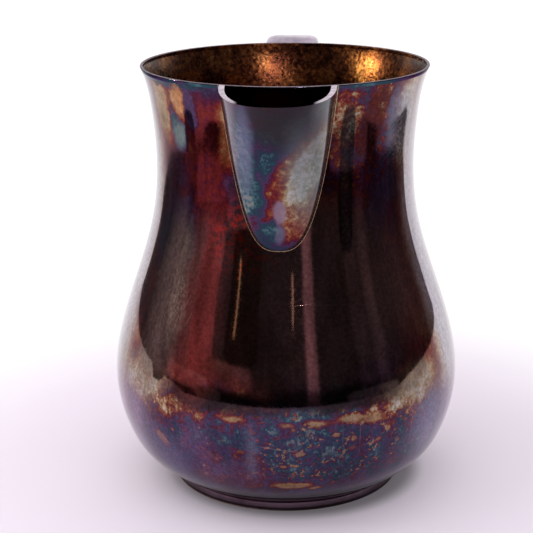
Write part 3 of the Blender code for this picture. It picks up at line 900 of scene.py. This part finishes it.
def spout_point(level, turn, inset):
    """Point of the spout's outer (inset 0) or inner face; turn runs 0 to pi across the front."""
    share = level ** 2
    wall = SPOUT_WALL_FOOT + (SPOUT_WALL_LIP - SPOUT_WALL_FOOT) * level
    tip = SPOUT_TIP_HEIGHT + inset * SPOUT_TIP_WALL
    side_height = tip + (RIM_HEIGHT - tip) * share
    front_height = tip + (LIP_FRONT_HEIGHT - tip) * share
    half = (SPOUT_HALF_WIDTH - inset * SPOUT_WALL_LIP) * share ** SPOUT_NARROWING
    seat = body_radius(side_height) + SPOUT_SEAT
    chord = sqrt(seat * seat - half * half)
    reach = FRONT(front_height / MM) * MM - inset * wall
    reach = max(reach, body_radius(front_height) + SPOUT_SEAT)
    forward = abs(sin(turn)) ** (2 / SPOUT_SECTION_POWER)
    x = half * signed_power(cos(turn), 2 / SPOUT_SECTION_POWER)
    y = -(chord + (reach - chord) * forward)
    return (x, y, side_height + (front_height - side_height) * forward)


def make_spout(surface, inside):
    columns = SPOUT_SEGMENTS + 1
    turns = [pi * i / SPOUT_SEGMENTS for i in range(columns)]
    points = []
    faces = []
    for inset in (0, 1):
        start = len(points)
        for level in SPOUT_RISE:
            points.extend(spout_point(level, turn, inset) for turn in turns)
        faces.extend(grid_faces(SPOUT_LEVELS + 1, columns, start, wrap=False, flip=bool(inset)))
    size = (SPOUT_LEVELS + 1) * columns
    for k in range(SPOUT_LEVELS):
        a = k * columns
        b = a + columns
        faces.append((a, b, b + size, a + size))
        faces.append((b + columns - 1, a + columns - 1, a + columns - 1 + size,
                      b + columns - 1 + size))
    lip = SPOUT_LEVELS * columns
    for i in range(SPOUT_SEGMENTS):
        faces.append((lip + i, lip + i + 1, size + lip + i + 1, size + lip + i))
        faces.append((i + 1, i, size + i, size + i + 1))
    spout = make_piece("pouring_spout", points, faces, surface, ["spout"],
                       bevel=0.3 * MM)
    spout.data.materials.append(inside)
    # Inward faces take the channel material, painted shade.
    for face in spout.data.polygons:
        x, y, z = face.center
        outward = Vector((x, y - AXIS_Y, 0.0)).dot(face.normal)
        if outward < 0 and face.normal.z < 0.6:
            face.material_index = 1
    return spout


def directions(line, k):
    """Unit vectors along the line and away from the pitcher's axis, at point k."""
    ahead = (line[min(k + 1, len(line) - 1)] - line[max(k - 1, 0)]).normalized()
    return ahead, Vector((line[k].x, line[k].y, 0)).normalized()


def seam_line(stand_off):
    """Points along the joint of the spout and the wall, some way outside the spout."""
    left, right = [[Vector(spout_point(level, turn, 0)) for level in SPOUT_RISE] for turn in (pi, 0.0)]
    line = left[::-1] + right
    moved = []
    for k, point in enumerate(line):
        ahead, radial = directions(line, k)
        spot = point - radial.cross(ahead).normalized() * stand_off
        height = min(spot.z, SEAM_TOP)
        reach = body_radius(height) + SPOUT_SEAT
        scale = reach / sqrt(spot.x ** 2 + spot.y ** 2)
        moved.append(Vector((spot.x * scale, spot.y * scale, height)))
    return moved


def make_bead(name, stand_off, radius, surface):
    """Raised line along the joint of the spout and the wall, used for the solder bead and for the thin dark
    line of painted shade beside it.
    """
    line = seam_line(stand_off)
    count = 10
    points = []
    for k, point in enumerate(line):
        ahead, radial = directions(line, k)
        side = ahead.cross(radial).normalized()
        out = side.cross(ahead)
        swell = radius * (1 + 0.15 * noise.noise(point / (3 * MM)))
        for i in range(count):
            angle = 2 * pi * i / count
            points.append(tuple(point + (side * cos(angle) + out * sin(angle)) * swell))
    faces = grid_faces(len(line), count)
    last = (len(line) - 1) * count
    faces.append(tuple(range(count)))
    faces.append(tuple(last + i for i in range(count)))
    return make_piece(name, points, faces, surface, [])


def handle_line():
    lengths = [0.0]
    for a, b in zip(HANDLE_LINE, HANDLE_LINE[1:]):
        lengths.append(lengths[-1] + sqrt((b[0] - a[0]) ** 2 + (b[1] - a[1]) ** 2))
    out = Spline([(s / lengths[-1], p[0]) for s, p in zip(lengths, HANDLE_LINE)])
    up = Spline([(s / lengths[-1], p[1]) for s, p in zip(lengths, HANDLE_LINE)])
    return lambda share: Vector((0.0, out(share) * MM, up(share) * MM))


def on_seat(point):
    radius = body_radius(point.z) + SEAT_THICKNESS - 0.2 * MM
    return Vector((point.x, sqrt(radius * radius - point.x * point.x), point.z))


def sweep_handle(name, section, surface, nodes, bevel):
    """Sweeps a section along the handle's line, with its ends cut to the wall's seats."""
    line = handle_line()
    points = []
    step = 0.002
    for k in range(HANDLE_STATIONS + 1):
        share = k / HANDLE_STATIONS
        tangent = (line(min(share + step, 1.0)) - line(max(share - step, 0.0))).normalized()
        outward = Vector((0.0, -tangent.z, tangent.y))
        width = HANDLE_WIDTH_TOP + (HANDLE_WIDTH_FOOT - HANDLE_WIDTH_TOP) * share
        depth = HANDLE_DEPTH_TOP + (HANDLE_DEPTH_FOOT - HANDLE_DEPTH_TOP) * share
        ring = section(width, depth)
        for across, out in ring:
            point = line(share) + Vector((across, 0, 0)) + outward * (out - depth / 2)
            if k in (0, HANDLE_STATIONS):
                point = on_seat(point)
            points.append(tuple(point))
    count = len(ring)
    faces = grid_faces(HANDLE_STATIONS + 1, count)
    last = HANDLE_STATIONS * count
    for i in range(count // 2 - 1):
        low = (i, i + 1, count - 2 - i, count - 1 - i)
        faces.append(low)
        faces.append(tuple(last + v for v in reversed(low)))
    return make_piece(name, points, faces, surface, nodes, bevel=bevel)


def channel_section(width, depth):
    """Outline of the handle's domed outer strip, open at the back."""
    outer = []
    inner = []
    for i in range(HANDLE_ARC_SEGMENTS + 1):
        angle = pi * i / HANDLE_ARC_SEGMENTS
        across = signed_power(cos(angle), 2 / HANDLE_SECTION_POWER)
        rise = abs(sin(angle)) ** (2 / HANDLE_SECTION_POWER) if 0 < i < HANDLE_ARC_SEGMENTS else 0
        outer.append((width / 2 * across, depth * rise))
        inner.append(((width / 2 - STRIP) * across, (depth - STRIP) * rise))
    return outer + inner[::-1]


def back_section(width, depth):
    """Outline of the slightly crowned strip that closes the handle's back; its depth isn't used."""
    half = width / 2 - STRIP - HANDLE_SEAM
    near = []
    for i in range(BACK_POINTS):
        x = half * (1 - 2 * i / (BACK_POINTS - 1))
        near.append((x, -BACK_CROWN * (1 - (x / half) ** 2)))
    return near + [(x, y + STRIP) for x, y in reversed(near)]


def make_seat(name, size, surface, node):
    """Oval plate that follows the wall under one end of the handle, with a rounded edge."""
    height, half_width, half_height = size
    profile = [(0.2 * i, 0.0) for i in range(5)]
    profile += [(1.0, 0.0), (1.0, 0.45), (0.985, 0.8), (0.955, 0.96), (0.9, 1.0)]
    profile += [(0.9 - 0.15 * i, 1.0) for i in range(1, 7)]
    points = []
    for share, lift in profile:
        for i in range(SEAT_SEGMENTS):
            angle = 2 * pi * i / SEAT_SEGMENTS
            x = half_width * max(share, 0.001) * cos(angle)
            z = height + half_height * max(share, 0.001) * sin(angle)
            radius = body_radius(z) + SEAT_THICKNESS * lift - 0.1 * MM * (1 - lift)
            points.append((x, sqrt(radius * radius - x * x), z))
    faces = grid_faces(len(profile), SEAT_SEGMENTS)
    return make_piece(name, points, faces, surface, [node])


# ---------------------------------------------------------------- floor, light and camera

def card(name, points, faces, glow):
    """A staged, shadowless panel, seen only in reflections."""
    mesh = bpy.data.meshes.new(name)
    mesh.from_pydata(points, [], faces)
    mesh.shade_smooth()
    mesh.materials.append(glow.material)
    panel = placed(name, mesh)
    panel.visible_camera = False
    panel.visible_diffuse = False
    panel.visible_shadow = False
    panel.visible_transmission = False
    panel.visible_volume_scatter = False


SURROUND_RADIUS = 0.39
SURROUND_DOME = 1.1
LAMP_INSET = 0.02
SURROUND_HALF_ANGLE = 125.5
# Height of its lower edge by angle from the spout: (degrees, metres)
SURROUND_EDGE = [(-126, 0.066), (-120, 0.060), (-112, 0.055), (-96, 0.047), (-88, 0.043), (-86.5, 0.012),
                 (-79, 0.012), (-77.5, 0.034), (-68, 0.030), (-60, 0.012), (0, 0.014), (68, 0.012),
                 (78, 0.030), (86, 0.040), (93, 0.044), (101, 0.047), (112, 0.050), (122, 0.053),
                 (126, 0.062)]
# What hangs round the table: (degrees from the spout, brightness, colour)
NEUTRAL = (1.0, 0.80, 0.86)
RUSSET = (1.0, 0.60, 0.66)
HANGINGS = [
    (-125, 0.15, NEUTRAL), (-112, 0.16, NEUTRAL), (-98, 0.24, NEUTRAL), (-88, 0.34, NEUTRAL),
    (-60, 0.30, NEUTRAL), (-44, 0.20, NEUTRAL), (-36, 0.12, NEUTRAL),
    (-24, 0.09, NEUTRAL), (14, 0.09, NEUTRAL), (16, 0.62, RUSSET), (21, 0.58, RUSSET),
    (23, 0.08, NEUTRAL), (46, 0.07, NEUTRAL), (50, 0.13, NEUTRAL), (58, 0.09, NEUTRAL),
    (66, 0.22, NEUTRAL), (71, 0.11, NEUTRAL), (90, 0.17, NEUTRAL), (104, 0.12, NEUTRAL),
    (125, 0.17, NEUTRAL),
]
# Things in front of them: (degrees, height), (half sizes), colour, strength, softness, lean
THINGS = [
    ((-67, 125), (17, 84), (0.56, 0.46, 0.46, 1.0), 0.95, 0.12, -0.15),
    ((-52, 120), (9, 95), (0.66, 0.34, 0.36, 1.0), 0.95, 0.12, -0.05),
    ((-34, 92), (16, 36), (0.54, 0.30, 0.30, 1.0), 0.9, 0.3),
    ((-26, 176), (11, 50), (0.050, 0.036, 0.032, 1.0), 0.95, 0.12),
    ((-60, 60), (15, 24), (0.92, 0.76, 0.78, 1.0), 0.95, 0.25),
    ((-44, 34), (8, 20), (0.66, 0.54, 0.46, 1.0), 0.95, 0.25),
    ((56, 28), (17, 18), (0.62, 0.58, 0.62, 1.0), 0.95, 0.2),
]
# Lamps: name, degrees from the spout, low and high end, width in degrees, colour, strength
LAMPS = [
    ("lamp_a", 7.5, 0.195, 0.26, 0.9, (1.0, 0.72, 0.50, 1.0), 2.0),
    ("lamp_b", -31.0, 0.17, 0.26, 0.9, (1.0, 0.72, 0.38, 1.0), 2.0),
    ("lamp_c", 14.0, 0.24, 0.33, 1.6, (1.0, 0.72, 0.70, 1.0), 120.0),
    ("lamp_d", -87.5, 0.24, 0.33, 1.7, (1.0, 0.78, 0.46, 1.0), 270.0),
]


def surround_reach(z):
    return SURROUND_RADIUS * sqrt(1 - (z / SURROUND_DOME) ** 2)


def dark_surround():
    """Dark hangings round the front of the table, open towards the pale backdrop behind."""
    columns = 129
    levels = [0.0, 0.05, 0.12, 0.25, 0.45, 0.7, 0.9]
    points = []
    for level in levels:
        for i in range(columns):
            degrees = SURROUND_HALF_ANGLE * (2 * i / (columns - 1) - 1)
            edge = np.interp(degrees, *zip(*SURROUND_EDGE))
            z = max(level, float(edge))
            angle = radians(degrees)
            reach = surround_reach(z)
            points.append((reach * sin(angle), AXIS_Y - reach * cos(angle), z))
    faces = grid_faces(len(levels), columns, wrap=False)
    card("dark_surround", points, faces, hangings_glow())


def hangings_glow():
    """Brightness round the surround by angle, with things before it, darker at the table's edge."""
    s = Surface.glowing("hangings", 1.0)
    flat = round_body(s)
    degrees, height, _ = s.split(flat)
    share = s.span(degrees, -SURROUND_HALF_ANGLE, SURROUND_HALF_ANGLE, smooth=False)
    stops = []
    for place, level, colour in HANGINGS:
        stops.append((0.5 + place / (2 * SURROUND_HALF_ANGLE), (*(level * c for c in colour), 1.0)))
    colour = s.vector("SCALE", s.ramp(share, stops), scale=s.span(height, 10.0, 60.0, 0.4, 1.0))
    colour = lay_stains(s, colour, flat, THINGS, boxy=True)
    colour = s.vector("SCALE", colour, scale=s.span(s.noise(14.0, 4.0, 0.6), 0.3, 0.7, 0.7, 1.3))
    s.feed(s.shader.inputs["Color"], colour)
    return s


def strip_lamp(name, azimuth, low, high, width, colour, strength):
    """Narrow upright lamp just inside the hangings, seen only as a reflection."""
    points = []
    reach = SURROUND_RADIUS - LAMP_INSET
    for z in (low, high):
        for side in (-1, 1):
            angle = radians(azimuth + side * width / 2)
            points.append((reach * sin(angle), AXIS_Y - reach * cos(angle), z))
    glow = Surface.glowing(name, strength)
    glow.shader.inputs["Color"].default_value = colour
    card(name, points, [(0, 1, 3, 2)], glow)


def make_floor():
    """Pale floor: faintly lavender round the object, paler and glowing more further out, with a painted
    shadow just right of the foot.
    """
    size = 4.0
    mesh = bpy.data.meshes.new("floor")
    mesh.from_pydata([(-size, -size, 0), (size, -size, 0), (size, size, 0), (-size, size, 0)],
                     [], [(0, 1, 2, 3)])
    s = Surface("pale_floor")
    s.shader.inputs["Metallic"].default_value = 0.0
    out = s.vector("LENGTH", s.moved(offset=(0.0, -AXIS_Y, 0.0)))
    far = s.span(out, 0.12, 0.26)
    # Painted contact shadow: darker within 50 to 60 mm of a point 4 mm right of the axis.
    shade = s.vector("LENGTH", s.moved(offset=(-4.0 * MM, -AXIS_Y, 0.0)))
    pale = s.mix(far, (0.88, 0.79, 0.90, 1.0), (0.95, 0.94, 0.95, 1.0))
    colour = s.vector("SCALE", pale, scale=s.span(shade, 0.050, 0.060, 0.3, 1.0))
    # The floor glows faintly, twice as much further out.
    s.shader.inputs["Emission Color"].default_value = (1.0, 0.95, 1.0, 1.0)
    s.feed(s.shader.inputs["Emission Strength"], s.math("MULTIPLY_ADD", far, 0.06, 0.06))
    s.shader.inputs["Specular IOR Level"].default_value = 0.2
    mesh.materials.append(s.done(colour, 0.7))
    placed("floor", mesh)


def make_world():
    world = bpy.data.worlds.new("pale_studio")
    bpy.context.scene.world = world
    world.use_nodes = True
    back = world.node_tree.nodes["Background"]
    back.inputs["Color"].default_value = (1.0, 1.0, 1.0, 1.0)
    back.inputs["Strength"].default_value = 1.0


def soft_key():
    """Soft lamp high on the left, which lights the floor but shows in no reflection."""
    data = bpy.data.lights.new("soft_key", "AREA")
    data.shape = "DISK"
    data.size = 0.5
    data.energy = 1.0
    lamp = placed("soft_key", data)
    lamp.location = (-0.45, -0.15, 0.75)
    aim = Vector((-0.05, 0.0, 0.0)) - lamp.location
    lamp.rotation_euler = aim.to_track_quat("-Z", "Y").to_euler()
    lamp.visible_glossy = False
    lamp.visible_camera = False


def make_camera():
    turn = radians(CAMERA_AZIMUTH)
    yaw = radians(CAMERA_YAW) + turn
    pitch = radians(CAMERA_PITCH)
    roll = radians(CAMERA_ROLL)
    right = Vector((cos(yaw), sin(yaw), 0.0))
    ahead = Vector((-sin(yaw), cos(yaw), 0.0))
    look = ahead * cos(pitch) - Vector((0, 0, sin(pitch)))
    up = ahead * sin(pitch) + Vector((0, 0, cos(pitch)))
    image_right = right * cos(roll) + up * sin(roll)
    image_up = up * cos(roll) - right * sin(roll)
    data = bpy.data.cameras.new("camera")
    data.lens = CAMERA_LENS
    data.sensor_width = CAMERA_SENSOR
    data.clip_start = 0.01
    data.clip_end = 50.0
    camera = placed("camera", data)
    place = Vector((CAMERA_DISTANCE * sin(turn), AXIS_Y - CAMERA_DISTANCE * cos(turn), CAMERA_HEIGHT))
    basis = Matrix((image_right, image_up, -look)).transposed().to_4x4()
    camera.matrix_world = Matrix.Translation(place) @ basis
    bpy.context.scene.camera = camera


# ---------------------------------------------------------------- the scene

make_camera()
make_world()
make_floor()
dark_surround()
bpy.context.scene.view_settings.view_transform = "Standard"

OUTSIDE = body_surface()
INSIDE = inside_surface()
# Painted shade for the spout channel and the seam line
CHANNEL = channel_shade_surface()
SEAM = rubbed_surface("solder", tone(176, 154, 128), tone(110, 88, 72), 0.3, 120.0)
SPOUT_METAL = spout_surface()
HANDLE_METAL = rubbed_surface("handle_metal", tone(214, 198, 216), tone(186, 168, 186), 0.5, 28.0)
BASE_METAL = foot_surface()

for lamp in LAMPS:
    strip_lamp(*lamp)
soft_key()

make_body(OUTSIDE, INSIDE)
make_rim(rim_surface(), INSIDE)
make_foot(BASE_METAL)
make_base(INSIDE)
make_spout(SPOUT_METAL, CHANNEL)
# Thin dark line of painted shade between the spout and the solder bead.
make_bead("seam_shade_line", SHADE_LINE_STAND_OFF, SHADE_LINE_RADIUS, CHANNEL)
make_bead("solder_bead", BEAD_RADIUS, BEAD_RADIUS, SEAM)
sweep_handle("handle_strap", channel_section, HANDLE_METAL, ["handle_outer_strip"], 0.25 * MM)
sweep_handle("handle_back", back_section, HANDLE_METAL, ["handle_back_strip"], 0.15 * MM)
make_seat("upper_seat", UPPER_SEAT, HANDLE_METAL, "upper_handle_seat")
make_seat("lower_seat", LOWER_SEAT, HANDLE_METAL, "lower_handle_seat")
